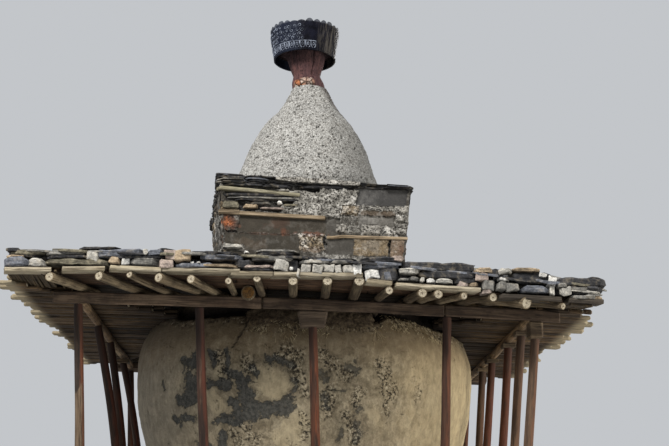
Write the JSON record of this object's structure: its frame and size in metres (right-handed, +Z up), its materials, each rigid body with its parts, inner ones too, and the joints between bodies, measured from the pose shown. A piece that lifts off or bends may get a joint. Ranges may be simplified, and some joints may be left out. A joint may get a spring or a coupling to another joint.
{
  "type": "stupa",
  "caption": "Mud-plastered stupa dome under a square timber and slate canopy on round posts, with a masonry pedestal, a mud cone and a scalloped metal crown.",
  "frame": {"origin": "centre of the plinth's underside, on the ground", "axes": "+Z up, +Y to the back, +X to the right as seen from the front"},
  "size_m": [5.98, 5.9, 8.1023],
  "materials": {
    "plaster": "rough tan mud plaster with grey-green patches",
    "mud": "coarse grey mud",
    "stone": "rubble and mud brick, weathered",
    "slate": "dark split slate",
    "brick": "orange-brown, unglazed",
    "wood": "bare weathered timber",
    "red_wood": "worn red-brown paint on timber",
    "metal": "blackened embossed sheet"
  },
  "bodies": {
    "root": {"beam_back": "wood", "beam_front": "wood", "beam_left": "wood", "beam_right": "wood", "block_front_5": "wood", "block_left_3": "wood", "block_right_1": "wood", "block_right_2": "wood", "block_right_3": "wood", "block_right_4": "wood", "bracket_back": "wood", "bracket_front": "wood", "ceiling_left": "wood", "ceiling_right": "wood", "collar": "brick", "cone": "mud", "crown": "metal", "dome": "plaster", "pedestal": "stone", "pedestal_coping": "slate", "pedestal_timber_left": "wood", "pedestal_timber_right": "wood", "plinth": "stone", "post_back_1": "red_wood", "post_back_2": "red_wood", "post_back_3": "red_wood", "post_back_4": "red_wood", "post_back_5": "red_wood", "post_front_1": "red_wood", "post_front_2": "red_wood", "post_front_3": "red_wood", "post_front_4": "red_wood", "post_front_5": "red_wood", "post_left_1": "red_wood", "post_left_2": "red_wood", "post_left_3": "red_wood", "post_right_1": "red_wood", "post_right_2": "red_wood", "post_right_3": "red_wood", "post_right_4": "red_wood", "rafters_back": "wood", "rafters_front": "wood", "roof_boards": "wood", "slates_back": "slate", "slates_front": "slate", "slates_left": "slate", "slates_right": "slate", "throne": "plaster", "trunk": "red_wood"}
  },
  "joints": []
}
